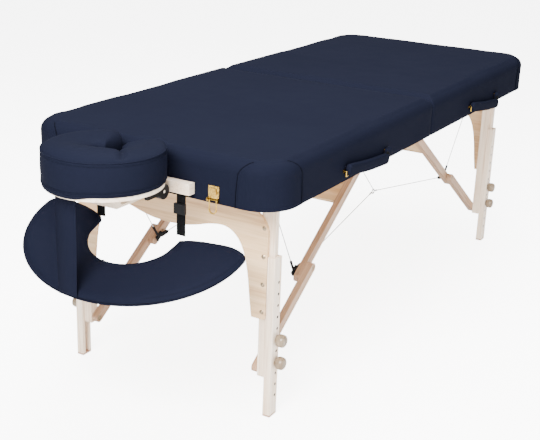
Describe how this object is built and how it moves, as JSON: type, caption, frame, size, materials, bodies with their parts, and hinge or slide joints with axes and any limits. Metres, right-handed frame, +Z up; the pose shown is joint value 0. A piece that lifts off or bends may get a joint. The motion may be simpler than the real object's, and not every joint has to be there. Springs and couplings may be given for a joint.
{
  "type": "folding massage table",
  "caption": "Folding massage table with padded top, arched leg panels, telescoping wooden legs, cable-braced knee joints, horseshoe face cradle and hanging arm shelf.",
  "frame": {"origin": "on the floor under the middle of the outline, cradle and handles included", "axes": "+X along the table towards the foot end, +Y to the left of someone lying face up with the head at the cradle, +Z up"},
  "size_m": [2.152, 0.7786, 0.7323],
  "materials": {
    "wood": "whitewashed maple, satin lacquer",
    "ply": "birch plywood, lacquered",
    "vinyl": "navy upholstery vinyl, soft grain",
    "brass": "polished brass plate",
    "steel": "stranded steel cable, bright",
    "black_plastic": "moulded nylon, matte",
    "webbing": "woven polypropylene webbing",
    "rubber": "tan rubber",
    "knob_wood": "turned hardwood, lacquered"
  },
  "bodies": {
    "centre_hinge": {"centre_hinge_pin": "steel"},
    "head_half": {"head_frame": "wood", "head_deck": "ply", "head_pad": "vinyl", "head_skirt": "vinyl", "head_hinge_leaf": "brass", "head_pivot_bolts": "brass", "head_handle_rings": "brass", "latch_bases": "brass", "restraint_cables": "steel"},
    "foot_half": {"foot_frame": "wood", "foot_deck": "ply", "foot_pad": "vinyl", "foot_skirt": "vinyl", "foot_hinge_leaf": "brass", "foot_pivot_bolts": "brass", "foot_handle_rings": "brass", "latch_strikes": "brass"},
    "head_carry_handle": {"head_handle": "vinyl"},
    "foot_carry_handle": {"foot_handle": "vinyl"},
    "latch_hooks": {"latch_loops": "brass"},
    "cradle_frame": {"cradle_base": "wood"},
    "face_rest": {"cradle_platform": "ply", "cradle_cushion": "vinyl", "shelf_straps": "webbing", "strap_buckles": "black_plastic"},
    "cam_lever": {"cradle_cam_lever": "black_plastic"},
    "arm_rest": {"arm_shelf": "vinyl"},
    "head_leg": {"head_leg_posts": "wood", "head_arch_panel": "wood", "head_leg_bolts": "brass"},
    "head_upper_brace": {"head_upper_braces": "wood", "head_brace_stretcher": "wood", "head_cable_clips": "black_plastic"},
    "head_lower_brace": {"head_lower_braces": "wood", "head_elbow_bolts": "black_plastic"},
    "head_right_leg_extension": {"head_right_extension": "wood", "head_right_foot": "rubber"},
    "head_right_upper_leg_knob": {"head_right_upper_knob": "knob_wood"},
    "head_right_lower_leg_knob": {"head_right_lower_knob": "knob_wood"},
    "head_left_leg_extension": {"head_left_extension": "wood", "head_left_foot": "rubber"},
    "head_left_upper_leg_knob": {"head_left_upper_knob": "knob_wood"},
    "head_left_lower_leg_knob": {"head_left_lower_knob": "knob_wood"},
    "foot_leg": {"foot_leg_posts": "wood", "foot_arch_panel": "wood", "foot_leg_bolts": "brass"},
    "foot_upper_brace": {"foot_upper_braces": "wood", "foot_brace_stretcher": "wood", "foot_cable_clips": "black_plastic"},
    "foot_lower_brace": {"foot_lower_braces": "wood", "foot_elbow_bolts": "black_plastic"},
    "foot_right_leg_extension": {"foot_right_extension": "wood", "foot_right_foot": "rubber"},
    "foot_right_upper_leg_knob": {"foot_right_upper_knob": "knob_wood"},
    "foot_right_lower_leg_knob": {"foot_right_lower_knob": "knob_wood"},
    "foot_left_leg_extension": {"foot_left_extension": "wood", "foot_left_foot": "rubber"},
    "foot_left_upper_leg_knob": {"foot_left_upper_knob": "knob_wood"},
    "foot_left_lower_leg_knob": {"foot_left_lower_knob": "knob_wood"}
  },
  "joints": [
    {"name": "head_half_fold", "type": "hinge", "parent": "centre_hinge", "child": "head_half", "pos_m": [0.145, 0.00825, 0.592], "axis": [0, -1, 0], "range_deg": [0, 90]},
    {"name": "foot_half_fold", "type": "hinge", "parent": "centre_hinge", "child": "foot_half", "pos_m": [0.145, 0.00825, 0.592], "axis": [0, 1, 0], "range_deg": [0, 90]},
    {"name": "head_leg_fold", "type": "hinge", "parent": "head_half", "child": "head_leg", "pos_m": [-0.653, 0.00825, 0.63], "axis": [0, -1, 0], "range_deg": [0, 90], "deforming": ["restraint_cables"]},
    {"name": "head_upper_brace_fold", "type": "hinge", "parent": "head_half", "child": "head_upper_brace", "pos_m": [0.085, 0.00825, 0.63], "axis": [0, 1, 0], "range_deg": [0, 34.54]},
    {"name": "head_lower_brace_fold", "type": "hinge", "parent": "head_leg", "child": "head_lower_brace", "pos_m": [-0.653, 0.00825, 0.122], "axis": [0, -1, 0], "range_deg": [0, 55.46]},
    {"name": "head_right_leg_height", "type": "slide", "parent": "head_leg", "child": "head_right_leg_extension", "axis": [0, 0, -1], "range_m": [-0.09525, 0.09525]},
    {"name": "head_right_upper_knob_turn", "type": "hinge", "parent": "head_leg", "child": "head_right_upper_leg_knob", "pos_m": [-0.653, -0.32175, 0.216], "axis": [0, -1, 0], "continuous": true},
    {"name": "head_right_lower_knob_turn", "type": "hinge", "parent": "head_leg", "child": "head_right_lower_leg_knob", "pos_m": [-0.653, -0.32175, 0.1525], "axis": [0, -1, 0], "continuous": true},
    {"name": "head_left_leg_height", "type": "slide", "parent": "head_leg", "child": "head_left_leg_extension", "axis": [0, 0, -1], "range_m": [-0.09525, 0.09525]},
    {"name": "head_left_upper_knob_turn", "type": "hinge", "parent": "head_leg", "child": "head_left_upper_leg_knob", "pos_m": [-0.653, 0.33825, 0.216], "axis": [0, 1, 0], "continuous": true},
    {"name": "head_left_lower_knob_turn", "type": "hinge", "parent": "head_leg", "child": "head_left_lower_leg_knob", "pos_m": [-0.653, 0.33825, 0.1525], "axis": [0, 1, 0], "continuous": true},
    {"name": "foot_leg_fold", "type": "hinge", "parent": "foot_half", "child": "foot_leg", "pos_m": [0.943, 0.00825, 0.63], "axis": [0, 1, 0], "range_deg": [0, 90]},
    {"name": "foot_upper_brace_fold", "type": "hinge", "parent": "foot_half", "child": "foot_upper_brace", "pos_m": [0.205, 0.00825, 0.63], "axis": [0, -1, 0], "range_deg": [0, 34.54]},
    {"name": "foot_lower_brace_fold", "type": "hinge", "parent": "foot_leg", "child": "foot_lower_brace", "pos_m": [0.943, 0.00825, 0.122], "axis": [0, 1, 0], "range_deg": [0, 55.46]},
    {"name": "foot_right_leg_height", "type": "slide", "parent": "foot_leg", "child": "foot_right_leg_extension", "axis": [0, 0, -1], "range_m": [-0.09525, 0.09525]},
    {"name": "foot_right_upper_knob_turn", "type": "hinge", "parent": "foot_leg", "child": "foot_right_upper_leg_knob", "pos_m": [0.943, -0.32175, 0.216], "axis": [0, -1, 0], "continuous": true},
    {"name": "foot_right_lower_knob_turn", "type": "hinge", "parent": "foot_leg", "child": "foot_right_lower_leg_knob", "pos_m": [0.943, -0.32175, 0.1525], "axis": [0, -1, 0], "continuous": true},
    {"name": "foot_left_leg_height", "type": "slide", "parent": "foot_leg", "child": "foot_left_leg_extension", "axis": [0, 0, -1], "range_m": [-0.09525, 0.09525]},
    {"name": "foot_left_upper_knob_turn", "type": "hinge", "parent": "foot_leg", "child": "foot_left_upper_leg_knob", "pos_m": [0.943, 0.33825, 0.216], "axis": [0, 1, 0], "continuous": true},
    {"name": "foot_left_lower_knob_turn", "type": "hinge", "parent": "foot_leg", "child": "foot_left_lower_leg_knob", "pos_m": [0.943, 0.33825, 0.1525], "axis": [0, 1, 0], "continuous": true},
    {"name": "head_handle_swing", "type": "hinge", "parent": "head_half", "child": "head_carry_handle", "pos_m": [-0.31, -0.38175, 0.613], "axis": [-1, 0, 0], "range_deg": [0, 90]},
    {"name": "foot_handle_swing", "type": "hinge", "parent": "foot_half", "child": "foot_carry_handle", "pos_m": [0.6, -0.38175, 0.613], "axis": [-1, 0, 0], "range_deg": [0, 90]},
    {"name": "latch_hook_swing", "type": "hinge", "parent": "head_half", "child": "latch_hooks", "pos_m": [-0.787, 0.00825, 0.605], "axis": [0, 1, 0], "range_deg": [0, 110]},
    {"name": "cradle_pull_out", "type": "slide", "parent": "head_half", "child": "cradle_frame", "axis": [-1, 0, 0], "range_m": [0, 0.08]},
    {"name": "face_rest_tilt", "type": "hinge", "parent": "cradle_frame", "child": "face_rest", "pos_m": [-0.83, 0.00825, 0.6155], "axis": [0, -1, 0], "range_deg": [-6, 8]},
    {"name": "cam_lever_turn", "type": "hinge", "parent": "face_rest", "child": "cam_lever", "pos_m": [-0.83, 0.00825, 0.6155], "axis": [0, -1, 0], "range_deg": [0, 80]},
    {"name": "arm_shelf_height", "type": "slide", "parent": "face_rest", "child": "arm_rest", "axis": [0, 0, 1], "range_m": [0, 0.04], "deforming": ["shelf_straps"]}
  ],
  "couplings": [
    {"joint": "head_lower_brace_fold", "follows": "head_leg_fold", "ratio": 0.61621},
    {"joint": "foot_lower_brace_fold", "follows": "foot_leg_fold", "ratio": 0.61621}
  ]
}
